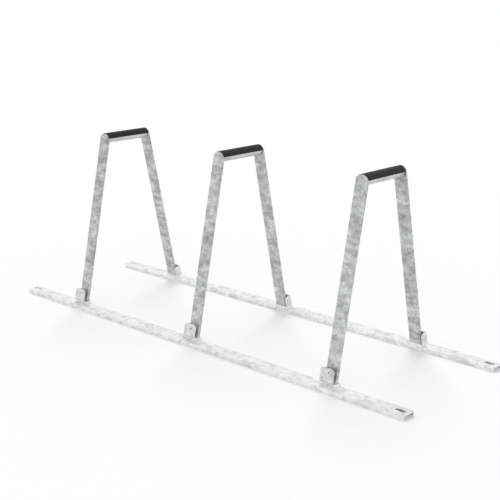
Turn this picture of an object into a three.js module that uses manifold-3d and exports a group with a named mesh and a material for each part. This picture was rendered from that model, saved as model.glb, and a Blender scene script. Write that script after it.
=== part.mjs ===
// Bicycle rack: three lean-on hoops bolted across two ground rails.
// Millimetres, +Z up, origin on the ground at the middle of the rack, X along the rails.
import * as THREE from "three";
import { mergeVertices } from "three/addons/utils/BufferGeometryUtils.js";
import Module from "manifold-3d";

const wasm = await Module();
wasm.setup();

// Ground rails: inverted channels that lie open side down.
const railLength = 2400;
const railWidth = 70;
const railHeight = 20;
const railWall = 4;
const railBend = 5;
const railCorner = 12;
const railSpacing = 664;
const anchorSlotWidth = 18;
const anchorSlotLength = 48;
const anchorSetback = 42;

// Hoops: a round top tube between two leaning legs.
const hoopCount = 3;
const tubeAxisHeight = 838;
const tubeDiameter = 48.3;
const tubeWall = 3;
const tubeClearSpan = 246;

// Sleeves that guard paint where a bicycle leans on the tube.
const sleeveWall = 2;
const sleeveWrapShare = 0.5;

// Legs: flat rectangular tubes with rounded corners, rounded over the tube's end
// and cut there to meet it.
const legWidth = 60;
const legDepth = 16;
const legWall = 3;
const legCorner = 4;
const legTopCorner = 28;

// Feet: a plate under each leg and an angle guard that hides the two fixing bolts.
const footPlateThickness = 12;
const guardWall = 6;
const guardHeight = 54;
const guardCorner = 22;
const guardFreeInset = 3;
const guardTopFall = 6;
const guardLift = 4;
const guardSideGap = 5.5;
const guardHole = 8;
const guardHoleShare = 0.62;

// Fixing bolts and nuts, plain hexagon.
const boltDiameter = 8;
const hexAcross = 13;
const boltHeadHeight = 5.3;
const boltSpacing = 30;
const nutHeight = 6.8;
const boltProjection = 3;
const hexChamfer = 0.9;

// Clearances, and how far a cutting shape runs past what it cuts.
const seatGap = 0.3;
const boltHoleClearance = 0.6;
const wrenchClearance = 1.2;
const cutOverrun = 20;

// Facets to a full circle.
const tubeFacets = 64;
const holeFacets = 20;
const cornerFacets = 6;

// The hoops share the rails' length evenly, with half a space left at each end.
const hoopPitch = railLength / hoopCount;
const hoopXs = Array.from({ length: hoopCount }, (_, i) => (i - (hoopCount - 1) / 2) * hoopPitch);
const boltXs = [-boltSpacing / 2, boltSpacing / 2];

// Levels and the lean of the legs, whose inner faces run from the tube's ends
// down to the inner edges of the rails.
const railInnerEdge = (railSpacing - railWidth) / 2;
const footLevel = railHeight + footPlateThickness;
const lean = Math.atan2(railInnerEdge - tubeClearSpan / 2, tubeAxisHeight - footLevel);
const level = (across) => across / Math.cos(lean);

const guardStandoff = hexAcross + 2 * wrenchClearance;
const guardOuterX = legWidth / 2 + guardSideGap + guardWall;
const headLean = Math.tan(lean) * boltHeadHeight;
const boltLineY = railInnerEdge + level(legDepth + guardStandoff / 2) - headLean / 2;
const footPlateDepth = level(legDepth + guardStandoff);

function steel(name, colour, roughness) {
  return new THREE.MeshStandardMaterial({ name, color: colour, roughness, metalness: 0.9 });
}

const galvanised = (name) => steel(name, 0xb4b6b8, 0.5);
const zincPlated = (name) => steel(name, 0xc3c5c6, 0.35);

function blackRubber(name) {
  return new THREE.MeshStandardMaterial({ name, color: 0x232323, roughness: 0.6, metalness: 0 });
}

function toSolid(geometry) {
  const bare = geometry.clone();
  bare.deleteAttribute("normal");
  bare.deleteAttribute("uv");
  const merged = mergeVertices(bare);
  return new wasm.Manifold(new wasm.Mesh({
    numProp: 3,
    vertProperties: new Float32Array(merged.attributes.position.array),
    triVerts: new Uint32Array(merged.index.array),
  }));
}

function toGeometry(solid) {
  const mesh = solid.getMesh();
  const geometry = new THREE.BufferGeometry();
  geometry.setAttribute("position", new THREE.BufferAttribute(mesh.vertProperties, 3));
  geometry.setIndex(new THREE.BufferAttribute(mesh.triVerts, 1));
  geometry.computeVertexNormals();
  return geometry;
}

function extrude(shape, depth, facets = holeFacets) {
  return new THREE.ExtrudeGeometry(shape, { depth, curveSegments: facets, bevelEnabled: false });
}

// A box from its low corner to its high corner.
function block(low, high) {
  const size = high.map((value, axis) => value - low[axis]);
  const middle = high.map((value, axis) => (value + low[axis]) / 2);
  return new THREE.BoxGeometry(...size).translate(...middle);
}

// An upright round cutter through everything between two levels.
function drill(diameter, x, y, low, high) {
  const span = high - low + 2 * cutOverrun;
  return toSolid(new THREE.CylinderGeometry(diameter / 2, diameter / 2, span, holeFacets)
    .rotateX(Math.PI / 2)
    .translate(x, y, (low + high) / 2));
}

// An upright cutter for the slot that a ground anchor goes through.
function anchorSlot(x, y, low, high) {
  const radius = anchorSlotWidth / 2;
  const reach = anchorSlotLength / 2 - radius;
  const shape = new THREE.Shape();
  shape.absarc(reach, 0, radius, -Math.PI / 2, Math.PI / 2, false);
  shape.absarc(-reach, 0, radius, Math.PI / 2, -Math.PI / 2, false);
  return toSolid(extrude(shape, high - low + 2 * cutOverrun).translate(x, y, low - cutOverrun));
}

// Leg frame: x along the rack, y up the leaning leg, z towards the inside of the hoop.
// It starts where the tube's axis meets the inner face of the leg.
const legFrame = new THREE.Matrix4()
  .makeRotationX(Math.PI / 2 + lean)
  .setPosition(0, tubeClearSpan / 2, tubeAxisHeight);
const fromRack = legFrame.clone().invert();
const legReach = level(tubeAxisHeight) + legDepth;

// Everything under a level plane at some height above the foot plate, in the leg frame.
function below(height) {
  const reach = railSpacing;
  const low = [-reach, -reach, -legReach];
  const high = [reach, reach, footLevel + height];
  return toSolid(block(low, high).applyMatrix4(fromRack));
}

// A leg and the tube meet in one flat cut, from the inner corner under the tube to the
// outer corner over it. Joint frame: y up the cut, z towards the inside of the hoop.
const tubeRadius = tubeDiameter / 2;
const jointRun = level(legDepth) - tubeDiameter * Math.tan(lean);
const jointFrame = new THREE.Matrix4()
  .makeRotationX(Math.PI / 2 - Math.atan2(jointRun, tubeDiameter))
  .setPosition(0, tubeClearSpan / 2 + tubeRadius * Math.tan(lean), tubeAxisHeight - tubeRadius);

const legTop = level(tubeRadius) - legDepth * Math.tan(lean);

// Everything on one side of the cut, in the rack's frame.
function besideJoint(from, to) {
  const low = [-legReach, -legReach, from];
  const high = [legReach, legReach, to];
  return block(low, high).applyMatrix4(jointFrame);
}

// The rail's own section, drawn across the rack and up, with its bends rounded.
function railSection() {
  const half = railWidth / 2;
  const inner = half - railWall;
  const under = railHeight - railWall;
  const innerBend = railBend - railWall;
  const shape = new THREE.Shape();
  shape.moveTo(-half, 0);
  shape.lineTo(-inner, 0);
  shape.lineTo(-inner, under - innerBend);
  shape.absarc(-inner + innerBend, under - innerBend, innerBend, Math.PI, Math.PI / 2, true);
  shape.lineTo(inner - innerBend, under);
  shape.absarc(inner - innerBend, under - innerBend, innerBend, Math.PI / 2, 0, true);
  shape.lineTo(inner, 0);
  shape.lineTo(half, 0);
  shape.lineTo(half, railHeight - railBend);
  shape.absarc(half - railBend, railHeight - railBend, railBend, 0, Math.PI / 2, false);
  shape.lineTo(-half + railBend, railHeight);
  shape.absarc(-half + railBend, railHeight - railBend, railBend, Math.PI / 2, Math.PI, false);
  return shape;
}

// A rectangle about the origin with its corners rounded.
function roundedRectangle(width, height, radius) {
  const x = width / 2 - radius;
  const y = height / 2 - radius;
  const shape = new THREE.Shape();
  shape.absarc(x, y, radius, 0, Math.PI / 2, false);
  shape.absarc(-x, y, radius, Math.PI / 2, Math.PI, false);
  shape.absarc(-x, -y, radius, Math.PI, -Math.PI / 2, false);
  shape.absarc(x, -y, radius, -Math.PI / 2, 0, false);
  return shape;
}

function railGeometry() {
  const profile = extrude(railSection(), railLength, cornerFacets)
    .translate(0, 0, -railLength / 2)
    .rotateX(Math.PI / 2)
    .rotateZ(Math.PI / 2)
    .translate(0, railSpacing / 2, 0);
  const outline = extrude(roundedRectangle(railLength, railWidth, railCorner), railHeight, cornerFacets)
    .translate(0, railSpacing / 2, 0);
  let rail = toSolid(profile).intersect(toSolid(outline));
  for (const hoopX of hoopXs) {
    for (const boltX of boltXs) {
      const hole = boltDiameter + boltHoleClearance;
      rail = rail.subtract(drill(hole, hoopX + boltX, boltLineY, 0, railHeight));
    }
  }
  const anchorX = railLength / 2 - anchorSetback;
  for (const x of [-anchorX, anchorX]) {
    rail = rail.subtract(anchorSlot(x, railSpacing / 2, 0, railHeight));
  }
  return toGeometry(rail);
}

function footPlateGeometry() {
  const low = [-guardOuterX, railInnerEdge, railHeight];
  const high = [guardOuterX, railInnerEdge + footPlateDepth, footLevel];
  let plate = toSolid(block(low, high));
  for (const boltX of boltXs) {
    plate = plate.subtract(drill(boltDiameter + boltHoleClearance, boltX, boltLineY, 0, footLevel));
  }
  return toGeometry(plate);
}

// The leg as seen from outside, drawn in by an inset, with its top rounded over the tube.
function legOutline(inset) {
  const shape = roundedRectangle(legWidth - 2 * inset, 2 * legReach, legTopCorner - inset);
  return toSolid(extrude(shape, legDepth + 2 * cutOverrun, tubeFacets / 4)
    .translate(0, legTop - inset - legReach, -legDepth - cutOverrun));
}

// A bar of the leg's section drawn in by an inset, longer than the leg at its foot.
function legBar(inset, overrun) {
  const width = legWidth - 2 * inset;
  const depth = legDepth - 2 * inset;
  const top = tubeDiameter + overrun;
  const section = roundedRectangle(width, depth, legCorner - inset);
  return toSolid(extrude(section, legReach + top + overrun, cornerFacets)
    .rotateX(Math.PI / 2)
    .translate(0, top, -legDepth / 2))
    .intersect(legOutline(inset));
}

function legGeometry() {
  const jointCut = toSolid(besideJoint(0, legReach).applyMatrix4(fromRack));
  const walls = legBar(0, 0).subtract(legBar(legWall, cutOverrun));
  return toGeometry(walls.subtract(below(seatGap)).subtract(jointCut));
}

// The guard's face, drawn in the leg frame: its free top corner is rounded, and its
// top edge falls towards the cheek.
function guardFaceOutline(top) {
  const freeX = guardFreeInset - legWidth / 2;
  const shape = new THREE.Shape();
  shape.moveTo(freeX, -legReach);
  shape.lineTo(guardOuterX, -legReach);
  shape.lineTo(guardOuterX, top - guardTopFall);
  shape.lineTo(freeX + guardCorner, top);
  shape.absarc(freeX + guardCorner, top - guardCorner, guardCorner, Math.PI / 2, Math.PI, false);
  return shape;
}

// An angle beside the leg: its cheek stands on the foot plate, and its face hangs
// from the cheek, clear of the plate and of the leg, with the bolts behind it.
function guardGeometry() {
  const foot = -level(tubeAxisHeight - footLevel);
  const top = foot + guardHeight;
  const faceOuter = -(legDepth + guardStandoff + guardWall);
  const face = toSolid(extrude(guardFaceOutline(top), guardWall).translate(0, 0, faceOuter))
    .subtract(below(guardLift));
  const cheek = toSolid(block(
    [guardOuterX - guardWall, -legReach, faceOuter],
    [guardOuterX, top - guardTopFall, 0],
  ));
  const hole = toSolid(new THREE.CylinderGeometry(guardHole / 2, guardHole / 2,
    guardWall + 2 * cutOverrun, holeFacets)
    .rotateX(Math.PI / 2)
    .translate(0, foot + guardHeight * guardHoleShare, faceOuter + guardWall / 2));
  return toGeometry(face.subtract(hole).add(cheek.subtract(below(seatGap))));
}

// A hexagon prism standing on z = 0 with flats facing Y, its top edge chamfered.
function hexPrism(height) {
  const corner = hexAcross / Math.sqrt(3);
  const prism = new THREE.CylinderGeometry(corner, corner, height, 6)
    .rotateX(Math.PI / 2)
    .rotateZ(Math.PI / 2)
    .translate(0, 0, height / 2);
  const chamferRun = hexChamfer * 2;
  const cone = new THREE.LatheGeometry([
    new THREE.Vector2(0, 0),
    new THREE.Vector2(corner + chamferRun, 0),
    new THREE.Vector2(corner + chamferRun, height - hexChamfer),
    new THREE.Vector2(hexAcross / 2, height),
    new THREE.Vector2(0, height),
  ], holeFacets).rotateX(Math.PI / 2);
  return toSolid(prism).intersect(toSolid(cone));
}

function roundBar(diameter, low, high) {
  return toSolid(new THREE.CylinderGeometry(diameter / 2, diameter / 2, high - low, holeFacets)
    .rotateX(Math.PI / 2)
    .translate(0, 0, (low + high) / 2));
}

// Bolt with the underside of its head at z = 0.
function boltGeometry() {
  const grip = footPlateThickness + railWall + nutHeight + boltProjection;
  return toGeometry(hexPrism(boltHeadHeight).add(roundBar(boltDiameter, -grip, boltHeadHeight / 2)));
}

// Nut whose bearing face is at z = 0 and whose chamfered end points down.
function nutGeometry() {
  const bore = roundBar(boltDiameter + 2 * seatGap, -cutOverrun, nutHeight + cutOverrun);
  return toGeometry(hexPrism(nutHeight).subtract(bore)).rotateX(Math.PI);
}

// A length along Y of a section drawn as seen along the tube, cut off at both legs.
function betweenLegs(section, facets) {
  const bar = toSolid(extrude(section, tubeClearSpan * 2, facets)
    .translate(0, 0, -tubeClearSpan)
    .rotateX(Math.PI / 2)
    .translate(0, 0, tubeAxisHeight));
  const legCut = toSolid(besideJoint(-legReach, seatGap));
  return toGeometry(bar.subtract(legCut).subtract(legCut.rotate([0, 0, 180])));
}

function tubeGeometry() {
  const section = new THREE.Shape();
  section.absarc(0, 0, tubeRadius, 0, 2 * Math.PI, false);
  const bore = new THREE.Path();
  bore.absarc(0, 0, tubeRadius - tubeWall, 0, 2 * Math.PI, false);
  section.holes.push(bore);
  return betweenLegs(section, tubeFacets / 2);
}

function sleeveGeometry() {
  const inner = tubeRadius + seatGap;
  const outer = inner + sleeveWall;
  const halfWrap = Math.PI * sleeveWrapShare;
  const start = Math.PI / 2 - halfWrap;
  const end = Math.PI / 2 + halfWrap;
  const section = new THREE.Shape();
  section.absarc(0, 0, outer, start, end, false);
  section.absarc(0, 0, inner, end, start, true);
  return betweenLegs(section, tubeFacets / 4);
}

const rack = new THREE.Group();

function place(group, name, geometry, material) {
  const mesh = new THREE.Mesh(geometry, material);
  mesh.name = name;
  group.add(mesh);
  return mesh;
}

const shapes = {
  rail: railGeometry(),
  footPlate: footPlateGeometry(),
  leg: legGeometry(),
  guard: guardGeometry(),
  bolt: boltGeometry(),
  nut: nutGeometry(),
  tube: tubeGeometry(),
  sleeve: sleeveGeometry(),
};

// One foot and its leg, with the outside of the rack at +Y.
function addLeg(side, label, hoopX) {
  const station = new THREE.Group();
  station.position.x = hoopX;
  side.add(station);
  place(station, `foot_plate_${label}`, shapes.footPlate, galvanised("foot_plate"));
  const leaning = new THREE.Group();
  leaning.applyMatrix4(legFrame);
  station.add(leaning);
  place(leaning, `leg_${label}`, shapes.leg, galvanised("leg"));
  place(leaning, `foot_guard_${label}`, shapes.guard, galvanised("foot_guard"));
  boltXs.forEach((boltX, index) => {
    const letter = "ab"[index];
    const bolt = place(station, `foot_bolt_${label}_${letter}`, shapes.bolt, zincPlated("bolt"));
    bolt.position.set(boltX, boltLineY, footLevel);
    const nut = place(station, `foot_nut_${label}_${letter}`, shapes.nut, zincPlated("nut"));
    nut.position.set(boltX, boltLineY, railHeight - railWall);
  });
}

// The front side is the back side turned half a turn, so its hoops count backwards.
for (const [sideName, turn] of [["back", 1], ["front", -1]]) {
  const side = new THREE.Group();
  side.rotation.z = turn > 0 ? 0 : Math.PI;
  rack.add(side);
  place(side, `ground_rail_${sideName}`, shapes.rail, galvanised("ground_rail"));
  hoopXs.forEach((hoopX, index) => addLeg(side, `${index + 1}_${sideName}`, turn * hoopX));
}

hoopXs.forEach((hoopX, index) => {
  place(rack, `top_tube_${index + 1}`, shapes.tube, galvanised("top_tube")).position.x = hoopX;
  place(rack, `lean_sleeve_${index + 1}`, shapes.sleeve, blackRubber("lean_sleeve")).position.x = hoopX;
});

export default rack;
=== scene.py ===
import math
import bmesh
import bpy
from mathutils import Matrix, Vector


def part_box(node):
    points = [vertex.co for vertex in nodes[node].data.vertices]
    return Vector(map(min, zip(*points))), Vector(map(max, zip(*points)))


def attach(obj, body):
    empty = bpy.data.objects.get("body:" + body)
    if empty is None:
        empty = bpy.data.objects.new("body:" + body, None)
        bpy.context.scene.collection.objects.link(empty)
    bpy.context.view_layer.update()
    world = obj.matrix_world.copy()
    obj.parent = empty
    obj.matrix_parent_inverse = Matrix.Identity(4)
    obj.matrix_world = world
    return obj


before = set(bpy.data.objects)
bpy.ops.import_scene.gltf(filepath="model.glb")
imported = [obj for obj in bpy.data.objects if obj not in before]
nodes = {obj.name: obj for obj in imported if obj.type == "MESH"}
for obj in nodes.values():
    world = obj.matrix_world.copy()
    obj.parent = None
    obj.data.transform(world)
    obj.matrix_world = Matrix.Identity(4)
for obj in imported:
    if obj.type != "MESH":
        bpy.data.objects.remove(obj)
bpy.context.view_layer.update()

mm = 0.001


def toLinear(hexText):  # sRGB hex, as a colour picker gives it, to linear RGBA
    parts = [int(hexText[i:i + 2], 16) / 255 for i in (1, 3, 5)]
    return [c / 12.92 if c <= 0.04045 else ((c + 0.055) / 1.055) ** 2.4 for c in parts] + [1.0]


def addNode(tree, kind, settings=None, links=None):
    # settings go to the node's own values or, by name or number, to its sockets
    node = tree.nodes.new(kind)
    for key, value in (settings or {}).items():
        if isinstance(key, str) and hasattr(node, key):
            setattr(node, key, value)
        else:
            node.inputs[key].default_value = value
    for key, source in (links or {}).items():
        tree.links.new(source, node.inputs[key])
    return node


def newMaterial(name):
    material = bpy.data.materials.new(name)
    material.use_nodes = True
    material.node_tree.nodes.clear()
    return material, material.node_tree


def scaleFor(sizeMm):  # texture scale for one feature of this size, on coordinates in metres
    return 1.0 / (sizeMm * mm)


galvanised = {
    "spangleMm": 10,            # one zinc crystal
    "patchMm": 60,              # groups of crystals that took the light alike
    "streakMm": 21,             # bands that the zinc leaves as it drains across a piece
    "drossMm": 2.4,             # fine lumps of dross, drawn coarser than the real 0.5 mm
    "fleckMm": 7,               # spacing of the bright flecks
    "bendMm": 18,               # length of one bend in the crystals' borders
    "bendReachMm": 6,           # how far a border bends aside
    "seedShift": (0.37, 0.61, 0.23),  # m for each step of the seed, so that no two finishes match
    "patchSpan": (0.3, 0.7),    # the part of the noise that is stretched to fill 0 to 1
    "streakSpan": (0.32, 0.68),
    "streakShare": 0.55,        # of the broad pattern, the rest being patches
    "crystalShare": 0.24,       # of the whole tone, the rest being the broad pattern
    "toneStops": (0.14, 0.5, 0.86),   # where the dark, middle and pale tones stand
    "fleckEdge": (0.3, 0.12),   # from a fleck's middle, in cells: where it begins and where it is full
    "fleckChance": 0.84,        # cells that draw a number above this have a fleck
    "patchGrain": 0.4,          # how far the roughness follows the patches, the rest the crystals
    "grainSpan": (0.15, 0.85),
    "patchHeight": 0.35,        # how far the bumps follow the patches, the rest the dross
    "metallic": 0.72,
    "bump": 0.14,
    "bumpMm": 0.6,
}


def galvanisedSteel(name, tones, roughness, seed, stretch, spangleMm=galvanised["spangleMm"]):
    # Steel dipped in molten zinc: matt grey crystals, each tilted its own way, banded where the zinc
    # drained, with pale patches where it has begun to dull. The tones are dark, middle, pale and fleck.
    # A stretch below 1 draws the bands out along that axis.
    g = galvanised
    material, tree = newMaterial(name)
    place = addNode(tree, "ShaderNodeTexCoord").outputs["Object"]
    shifted = addNode(tree, "ShaderNodeMapping", {"Location": [seed * shift for shift in g["seedShift"]]},
                      {"Vector": place}).outputs["Vector"]
    wander = addNode(tree, "ShaderNodeTexNoise", {"Scale": scaleFor(g["bendMm"]), "Detail": 2.0},
                     {"Vector": shifted})
    bent = addNode(tree, "ShaderNodeVectorMath",
                   {"operation": "MULTIPLY_ADD", 1: [g["bendReachMm"] * mm] * 3},
                   {0: wander.outputs["Color"], 2: shifted}).outputs["Vector"]
    crystals = addNode(tree, "ShaderNodeTexVoronoi", {"feature": "F1", "Scale": scaleFor(spangleMm)},
                       {"Vector": bent})
    crystalTone = addNode(tree, "ShaderNodeSeparateColor", {}, {"Color": crystals.outputs["Color"]})
    patches = addNode(tree, "ShaderNodeTexNoise",
                      {"Scale": scaleFor(g["patchMm"]), "Detail": 3.0, "Roughness": 0.55}, {"Vector": bent})
    patchTone = addNode(tree, "ShaderNodeMapRange",
                        {"From Min": g["patchSpan"][0], "From Max": g["patchSpan"][1]},
                        {"Value": patches.outputs["Fac"]}).outputs["Result"]
    drawn = addNode(tree, "ShaderNodeMapping", {"Scale": stretch}, {"Vector": bent}).outputs["Vector"]
    streaks = addNode(tree, "ShaderNodeTexNoise", {"Scale": scaleFor(g["streakMm"]), "Detail": 2.5},
                      {"Vector": drawn})
    streakTone = addNode(tree, "ShaderNodeMapRange",
                         {"From Min": g["streakSpan"][0], "From Max": g["streakSpan"][1]},
                         {"Value": streaks.outputs["Fac"]}).outputs["Result"]
    broad = addNode(tree, "ShaderNodeMix", {"data_type": "FLOAT", "Factor": g["streakShare"]},
                    {2: patchTone, 3: streakTone}).outputs[0]
    tone = addNode(tree, "ShaderNodeMix", {"data_type": "FLOAT", "Factor": g["crystalShare"]},
                   {2: broad, 3: crystalTone.outputs["Red"]}).outputs[0]
    dark, middle, pale, fleck = tones
    darkStop, middleStop, paleStop = g["toneStops"]
    ramp = addNode(tree, "ShaderNodeValToRGB", {}, {"Fac": tone})
    ramp.color_ramp.elements[0].position = darkStop
    ramp.color_ramp.elements[0].color = toLinear(dark)
    ramp.color_ramp.elements[1].position = paleStop
    ramp.color_ramp.elements[1].color = toLinear(pale)
    ramp.color_ramp.elements.new(middleStop).color = toLinear(middle)
    specks = addNode(tree, "ShaderNodeTexVoronoi", {"feature": "F1", "Scale": scaleFor(g["fleckMm"])},
                     {"Vector": shifted})
    near = addNode(tree, "ShaderNodeMapRange",
                   {"From Min": g["fleckEdge"][0], "From Max": g["fleckEdge"][1]},
                   {"Value": specks.outputs["Distance"]})
    chosen = addNode(tree, "ShaderNodeSeparateColor", {}, {"Color": specks.outputs["Color"]})
    few = addNode(tree, "ShaderNodeMath", {"operation": "GREATER_THAN", 1: g["fleckChance"]},
                  {0: chosen.outputs["Blue"]})
    flecks = addNode(tree, "ShaderNodeMath", {"operation": "MULTIPLY"},
                     {0: near.outputs["Result"], 1: few.outputs["Value"]})
    flecked = addNode(tree, "ShaderNodeMix", {"data_type": "RGBA", 7: toLinear(fleck)},
                      {0: flecks.outputs["Value"], 6: ramp.outputs["Color"]})
    grain = addNode(tree, "ShaderNodeMix", {"data_type": "FLOAT", "Factor": g["patchGrain"]},
                    {2: crystalTone.outputs["Green"], 3: patchTone}).outputs[0]
    rough = addNode(tree, "ShaderNodeMapRange",
                    {"From Min": g["grainSpan"][0], "From Max": g["grainSpan"][1],
                     "To Min": roughness[0], "To Max": roughness[1]},
                    {"Value": grain}).outputs["Result"]
    dross = addNode(tree, "ShaderNodeTexNoise", {"Scale": scaleFor(g["drossMm"]), "Detail": 3.0},
                    {"Vector": shifted})
    height = addNode(tree, "ShaderNodeMix", {"data_type": "FLOAT", "Factor": g["patchHeight"]},
                     {2: dross.outputs["Fac"], 3: patches.outputs["Fac"]}).outputs[0]
    bump = addNode(tree, "ShaderNodeBump", {"Strength": g["bump"], "Distance": g["bumpMm"] * mm},
                   {"Height": height})
    shader = addNode(tree, "ShaderNodeBsdfPrincipled", {"Metallic": g["metallic"]},
                     {"Base Color": flecked.outputs[2], "Roughness": rough, "Normal": bump.outputs["Normal"]})
    addNode(tree, "ShaderNodeOutputMaterial", {}, {"Surface": shader.outputs["BSDF"]})
    return material


zincPlate = {
    "dullMm": 5,                # one dulled patch
    "tones": ("#a9acae", "#d2d4d3"),
    "roughness": (0.22, 0.42),
    "toolMm": 0.8,              # marks of the forming tool, drawn coarser than the real 0.1 mm
    "metallic": 0.95,
    "bump": 0.08,
    "bumpMm": 0.2,
}


def zincPlatedSteel():
    # Electroplated fasteners: brighter and smoother than the dipped steel, dulled a little by handling.
    z = zincPlate
    material, tree = newMaterial("zinc plated steel")
    place = addNode(tree, "ShaderNodeTexCoord").outputs["Object"]
    dulling = addNode(tree, "ShaderNodeTexNoise", {"Scale": scaleFor(z["dullMm"]), "Detail": 3.0},
                      {"Vector": place})
    ramp = addNode(tree, "ShaderNodeValToRGB", {}, {"Fac": dulling.outputs["Fac"]})
    for element, tone in zip(ramp.color_ramp.elements, z["tones"]):
        element.color = toLinear(tone)
    rough = addNode(tree, "ShaderNodeMapRange", {"To Min": z["roughness"][0], "To Max": z["roughness"][1]},
                    {"Value": dulling.outputs["Fac"]}).outputs["Result"]
    turned = addNode(tree, "ShaderNodeTexNoise", {"Scale": scaleFor(z["toolMm"]), "Detail": 2.0},
                     {"Vector": place})
    bump = addNode(tree, "ShaderNodeBump", {"Strength": z["bump"], "Distance": z["bumpMm"] * mm},
                   {"Height": turned.outputs["Fac"]})
    shader = addNode(tree, "ShaderNodeBsdfPrincipled", {"Metallic": z["metallic"]},
                     {"Base Color": ramp.outputs["Color"], "Roughness": rough,
                      "Normal": bump.outputs["Normal"]})
    addNode(tree, "ShaderNodeOutputMaterial", {}, {"Surface": shader.outputs["BSDF"]})
    return material


rubber = {
    "lineMm": 1.6,              # draw lines, drawn coarser than the real 0.3 mm
    "lineStretch": (1.0, 0.03, 1.0),  # they run along Y, the sleeve's length
    "bloomMm": 34,              # one patch of grey bloom
    "bloomShare": 0.6,          # of the tone, the rest being draw lines
    "tones": ("#0e0e0f", "#1f1f20"),
    "toneStops": (0.3, 0.75),
    "roughness": (0.48, 0.66),
    "ior": 1.5,
    "specular": 0.3,
    "bump": 0.1,
    "bumpMm": 0.3,
}


def extrudedRubber():
    # Black EPDM, extruded: an even satin skin with faint draw lines along its length and a thin grey bloom.
    r = rubber
    material, tree = newMaterial("extruded black rubber")
    place = addNode(tree, "ShaderNodeTexCoord").outputs["Object"]
    drawn = addNode(tree, "ShaderNodeMapping", {"Scale": r["lineStretch"]}, {"Vector": place})
    lines = addNode(tree, "ShaderNodeTexNoise", {"Scale": scaleFor(r["lineMm"]), "Detail": 2.0},
                    {"Vector": drawn.outputs["Vector"]})
    bloom = addNode(tree, "ShaderNodeTexNoise",
                    {"Scale": scaleFor(r["bloomMm"]), "Detail": 4.0, "Roughness": 0.6}, {"Vector": place})
    tone = addNode(tree, "ShaderNodeMix", {"data_type": "FLOAT", "Factor": r["bloomShare"]},
                   {2: lines.outputs["Fac"], 3: bloom.outputs["Fac"]}).outputs[0]
    ramp = addNode(tree, "ShaderNodeValToRGB", {}, {"Fac": tone})
    for element, stop, tone in zip(ramp.color_ramp.elements, r["toneStops"], r["tones"]):
        element.position = stop
        element.color = toLinear(tone)
    rough = addNode(tree, "ShaderNodeMapRange", {"To Min": r["roughness"][0], "To Max": r["roughness"][1]},
                    {"Value": bloom.outputs["Fac"]}).outputs["Result"]
    bump = addNode(tree, "ShaderNodeBump", {"Strength": r["bump"], "Distance": r["bumpMm"] * mm},
                   {"Height": lines.outputs["Fac"]})
    shader = addNode(tree, "ShaderNodeBsdfPrincipled", {"IOR": r["ior"], "Specular IOR Level": r["specular"]},
                     {"Base Color": ramp.outputs["Color"], "Roughness": rough,
                      "Normal": bump.outputs["Normal"]})
    addNode(tree, "ShaderNodeOutputMaterial", {}, {"Surface": shader.outputs["BSDF"]})
    return material


alongRail, acrossLeg, alongTube, evenly = (0.6, 0.7, 1.0), (0.4, 1.0, 0.9), (1.0, 0.3, 1.0), (0.7, 0.7, 0.7)
finishes = {
    # The rail's copy of the same galvanised steel has paler tones than the legs: painted light, standing for
    # the light that falls on its tops and sides.
    "rail": galvanisedSteel("galvanised rail with painted light", ("#d3d4d5", "#efeff0", "#fdfdfd", "#ffffff"),
                            roughness=(0.44, 0.66), seed=1, stretch=alongRail, spangleMm=16),
    "leg": galvanisedSteel("galvanised leg", ("#98999a", "#c0c1c2", "#e2e3e3", "#f4f4f4"),
                           roughness=(0.4, 0.6), seed=2, stretch=acrossLeg),
    # The foot plate's copy of the same galvanised steel has paler tones than the legs: painted light,
    # standing for the light that falls on it.
    "plate": galvanisedSteel("galvanised foot plate with painted light", ("#d8d9da", "#f0f0f1", "#fdfdfd", "#ffffff"),
                             roughness=(0.44, 0.66), seed=3, stretch=evenly),
    # The foot guard's copy of the same galvanised steel has lighter tones than the legs: painted light,
    # standing for the light on the lit guard faces.
    "guard": galvanisedSteel("galvanised foot guard with painted light", ("#c6c7c8", "#dedfdf", "#f1f1f1", "#fafafa"),
                             roughness=(0.42, 0.62), seed=6, stretch=evenly),
    "tube": galvanisedSteel("galvanised tube", ("#b4b5b6", "#cbcccd", "#e0e0e0", "#f0f0f0"),
                            roughness=(0.4, 0.58), seed=4, stretch=alongTube),
    "weld": galvanisedSteel("galvanised weld", ("#a8a9aa", "#c0c1c2", "#d6d7d7", "#ececec"),
                            roughness=(0.45, 0.65), seed=5, stretch=evenly, spangleMm=5),
    "fastener": zincPlatedSteel(),
    "sleeve": extrudedRubber(),
}
print("materials made:", len(finishes))

# The finish of each CAD node, by the start of its name, and the radius in mm of its softened edges.
dressing = {
    "ground_rail": ("rail", 0.8),
    "foot_plate": ("plate", 0.9),
    "leg": ("leg", 0.4),
    "foot_guard": ("guard", 1.0),
    "foot_bolt": ("fastener", 0.25),
    "foot_nut": ("fastener", 0.25),
    "top_tube": ("tube", 0.4),
    "lean_sleeve": ("sleeve", 0.4),
}
edges = {
    "joinMm": 0.005,            # corners of neighbouring facets this near are one
    "angle": 33,                # degrees, above the steps between a round face's facets
    "segments": 2,
}


def softenEdges(piece, radiusMm):
    if "custom_normal" in piece.data.attributes:  # the CAD's flat shading
        piece.data.attributes.remove(piece.data.attributes["custom_normal"])
    piece.data.polygons.foreach_set("use_smooth", [True] * len(piece.data.polygons))
    joined = piece.modifiers.new("joined", "WELD")
    joined.merge_threshold = edges["joinMm"] * mm
    rounded = piece.modifiers.new("rounded", "BEVEL")
    rounded.width = radiusMm * mm
    rounded.segments = edges["segments"]
    rounded.limit_method = "ANGLE"
    rounded.angle_limit = math.radians(edges["angle"])
    rounded.use_clamp_overlap = True
    rounded.harden_normals = True


for name, piece in nodes.items():
    finish, radiusMm = next(value for start, value in dressing.items() if name.startswith(start))
    piece.data.materials.clear()
    piece.data.materials.append(finishes[finish])
    softenEdges(piece, radiusMm)
print("CAD pieces dressed:", len(nodes))

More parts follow.
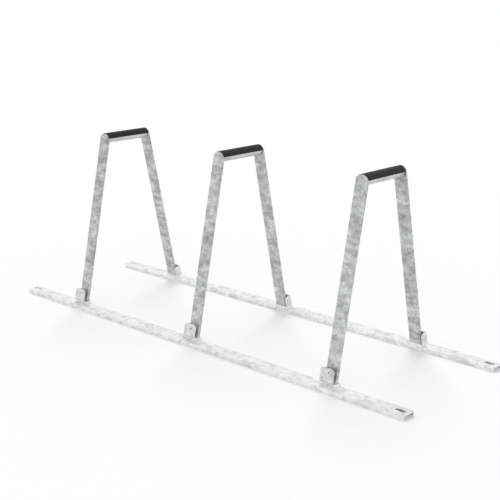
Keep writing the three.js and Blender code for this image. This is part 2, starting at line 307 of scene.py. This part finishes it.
weld = {
    "footRadius": 2.2,          # mm, at the feet
    "jointRadius": 1.5,         # mm, where a leg meets the tube
    "jointPoints": 24,          # stretches in the half ring under the tube
    "ripple": 2.6,              # mm from one ripple to the next
    "rippleDepth": 0.22,        # mm
    "steps": 3,                 # rings of the mesh in one ripple
    "sides": 10,                # points in one ring
    "endSize": 0.45,            # how thick a bead starts, as a share of its radius
    "endGrowth": 0.3,           # what each ring adds until the bead is full
}
# The lines that the beads follow, in mm, as the CAD part has them.
hoop = {
    "clearSpan": 246,
    "tubeRadius": 24.15,
    "axisHeight": 838,
    "legWidth": 60,
    "legDepth": 16,
    "legCorner": 4,
    "plateTop": 32,
    "railInnerEdge": 297,
    "cheekInner": 35.5,
    "cheekWeldEnd": 325,
}
leanSlope = (hoop["railInnerEdge"] - hoop["clearSpan"] / 2) / (hoop["axisHeight"] - hoop["plateTop"])
legAcross = hoop["legDepth"] * math.sqrt(1 + leanSlope ** 2)  # the leg's depth, measured level


def beadMesh(name, points, radius):
    # a round bead swept along points, swelling and thinning with each ripple
    places = []
    stepLength = weld["ripple"] / weld["steps"] * mm
    for start, end in zip(points, points[1:]):
        count = max(1, round((end - start).length / stepLength))
        places += [start.lerp(end, i / count) for i in range(count)]
    places.append(points[-1])
    last = len(places) - 1
    angles = [2 * math.pi * k / weld["sides"] for k in range(weld["sides"])]
    shape = bmesh.new()
    rings = []
    for i, place in enumerate(places):
        along = (places[min(i + 1, last)] - places[max(i - 1, 0)]).normalized()
        turned = along.to_track_quat("Z", "Y")
        swell = weld["rippleDepth"] * math.sin(2 * math.pi * i / weld["steps"])
        taper = min(1.0, weld["endSize"] + weld["endGrowth"] * min(i, last - i))
        reach = (radius + swell) * taper * mm
        rings.append([shape.verts.new(place + turned @ Vector((reach * math.cos(a), reach * math.sin(a), 0)))
                      for a in angles])
    for ring, following in zip(rings, rings[1:]):
        for k in range(weld["sides"]):
            n = (k + 1) % weld["sides"]
            shape.faces.new((ring[k], ring[n], following[n], following[k]))
    shape.faces.new(list(reversed(rings[0])))
    shape.faces.new(rings[-1])
    mesh = bpy.data.meshes.new(name)
    shape.to_mesh(mesh)
    shape.free()
    mesh.polygons.foreach_set("use_smooth", [True] * len(mesh.polygons))
    return mesh


def addBead(name, points, radius):
    piece = bpy.data.objects.new(name, beadMesh(name, points, radius))
    bpy.context.scene.collection.objects.link(piece)
    piece.data.materials.append(finishes["weld"])
    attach(piece, "root")


def weldSide(number, side, turn):
    # one side of a hoop, drawn as its back side, and turned half round for the front one by a turn of -1
    low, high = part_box(f"top_tube_{number}")
    hoopX = (low[0] + high[0]) / 2

    def at(x, y, z):
        return Vector((hoopX + turn * x * mm, turn * y * mm, z * mm))

    plateTop = hoop["plateTop"]
    inner = hoop["railInnerEdge"] + hoop["legCorner"]
    outer = hoop["railInnerEdge"] + legAcross - hoop["legCorner"]
    for edge, x in (("left", -hoop["legWidth"] / 2), ("right", hoop["legWidth"] / 2)):
        addBead(f"foot_weld_{number}_{side}_{edge}", [at(x, inner, plateTop), at(x, outer, plateTop)],
                weld["footRadius"])
    cheek = hoop["cheekInner"]
    addBead(f"guard_weld_{number}_{side}",
            [at(cheek, inner, plateTop), at(cheek, hoop["cheekWeldEnd"], plateTop)], weld["footRadius"])
    # under the tube, round the flat cut where it meets the leg, from one edge of the sleeve to the other
    radius = hoop["tubeRadius"]
    foot = hoop["clearSpan"] / 2 + radius * leanSlope
    slope = (legAcross - 2 * radius * leanSlope) / (2 * radius)
    ring = []
    for step in range(weld["jointPoints"] + 1):
        angle = math.pi * (0.5 + step / weld["jointPoints"])
        height = radius * math.cos(angle)
        ring.append(at(radius * math.sin(angle), foot + slope * (height + radius),
                       hoop["axisHeight"] + height))
    addBead(f"joint_weld_{number}_{side}", ring, weld["jointRadius"])


hoopNumbers = sorted({int(name.split("_")[2]) for name in nodes if name.startswith("top_tube_")})
for number in hoopNumbers:
    weldSide(number, "back", 1)
    weldSide(number, "front", -1)
print("welds made for hoops:", hoopNumbers)

backdrop = {
    "halfSize": 40.0,           # m, the floor's reach each way
    "paper": "#fcfcfc",
    "nearM": 1.7,               # inside this the floor shows the light and shadow that fall on it
    "farM": 3.6,                # outside this it is plain white
    "worldLight": 0.78,
}


def showsBackground(tree):  # 1 for rays that see or mirror the background, 0 for those that light the rack
    path = addNode(tree, "ShaderNodeLightPath")
    seen = addNode(tree, "ShaderNodeMath", {"operation": "MAXIMUM"},
                   {0: path.outputs["Is Camera Ray"], 1: path.outputs["Is Transmission Ray"]})
    return addNode(tree, "ShaderNodeMath", {"operation": "MAXIMUM"},
                   {0: seen.outputs["Value"], 1: path.outputs["Is Glossy Ray"]}).outputs["Value"]


def studioPaper():
    # Matt white paper: it takes the rack's soft shadow and fades to plain white further out.
    material, tree = newMaterial("matt white studio paper")
    place = addNode(tree, "ShaderNodeTexCoord").outputs["Object"]
    away = addNode(tree, "ShaderNodeVectorMath", {"operation": "LENGTH"}, {0: place}).outputs["Value"]
    far = addNode(tree, "ShaderNodeMapRange",
                  {"interpolation_type": "SMOOTHSTEP", "From Min": backdrop["nearM"],
                   "From Max": backdrop["farM"]}, {"Value": away}).outputs["Result"]
    white = addNode(tree, "ShaderNodeMath", {"operation": "MULTIPLY"}, {0: showsBackground(tree), 1: far})
    paper = addNode(tree, "ShaderNodeBsdfDiffuse", {"Color": toLinear(backdrop["paper"])})
    glow = addNode(tree, "ShaderNodeEmission", {"Color": (1, 1, 1, 1), "Strength": 1.0})
    mixed = addNode(tree, "ShaderNodeMixShader", {},
                    {0: white.outputs["Value"], 1: paper.outputs["BSDF"], 2: glow.outputs["Emission"]})
    addNode(tree, "ShaderNodeOutputMaterial", {}, {"Surface": mixed.outputs["Shader"]})
    return material


def makeFloor():
    mesh = bpy.data.meshes.new("floor")
    half = backdrop["halfSize"]
    mesh.from_pydata([(-half, -half, 0), (half, -half, 0), (half, half, 0), (-half, half, 0)], [],
                     [(0, 1, 2, 3)])
    floor = bpy.data.objects.new("floor", mesh)
    bpy.context.scene.collection.objects.link(floor)
    mesh.materials.append(studioPaper())


def lightWorld():
    world = bpy.data.worlds.new("studio")
    bpy.context.scene.world = world
    world.use_nodes = True
    tree = world.node_tree
    tree.nodes.clear()
    soft = addNode(tree, "ShaderNodeBackground", {"Color": (1, 1, 1, 1), "Strength": backdrop["worldLight"]})
    white = addNode(tree, "ShaderNodeBackground", {"Color": (1, 1, 1, 1), "Strength": 1.0})
    mixed = addNode(tree, "ShaderNodeMixShader", {},
                    {0: showsBackground(tree), 1: soft.outputs["Background"],
                     2: white.outputs["Background"]})
    addNode(tree, "ShaderNodeOutputWorld", {}, {"Surface": mixed.outputs["Shader"]})


# One broad soft light, high and from behind on the left, as wide as a large window.
window = {
    "from": (-0.55, 0.62, 0.85),
    "strength": 1.05,
    "angle": 34,                # degrees across, as the rack sees it
}


def addWindow():
    data = bpy.data.lights.new("window light", "SUN")
    data.energy = window["strength"]
    data.angle = math.radians(window["angle"])
    lamp = bpy.data.objects.new("window light", data)
    lamp.rotation_euler = (-Vector(window["from"])).to_track_quat("-Z", "Y").to_euler()
    lamp.visible_glossy = False  # its mirror image would burn out the zinc's crystals
    bpy.context.scene.collection.objects.link(lamp)


makeFloor()
lightWorld()
addWindow()

# The photograph's own view: place in m, turns in degrees, lens and sensor in mm.
view = {
    "place": (3.194, -3.374, 1.6355),
    "yaw": 42.83,
    "pitch": 15.15,
    "roll": -0.11,
    "lens": 73.58,
    "sensor": 36,
    "clipEnd": 200,             # m, past the floor's far corner
}
camera = bpy.data.objects.new("camera", bpy.data.cameras.new("camera"))
camera.data.sensor_width = view["sensor"]
camera.data.lens = view["lens"]
camera.data.clip_end = view["clipEnd"]
turn = (Matrix.Rotation(math.radians(view["yaw"]), 4, "Z")
        @ Matrix.Rotation(math.radians(90 - view["pitch"]), 4, "X")
        @ Matrix.Rotation(math.radians(view["roll"]), 4, "Z"))
camera.matrix_world = Matrix.Translation(view["place"]) @ turn
bpy.context.scene.collection.objects.link(camera)
bpy.context.scene.camera = camera
bpy.context.scene.view_settings.view_transform = "Standard"
print("stage set")

bpy.context.view_layer.update()
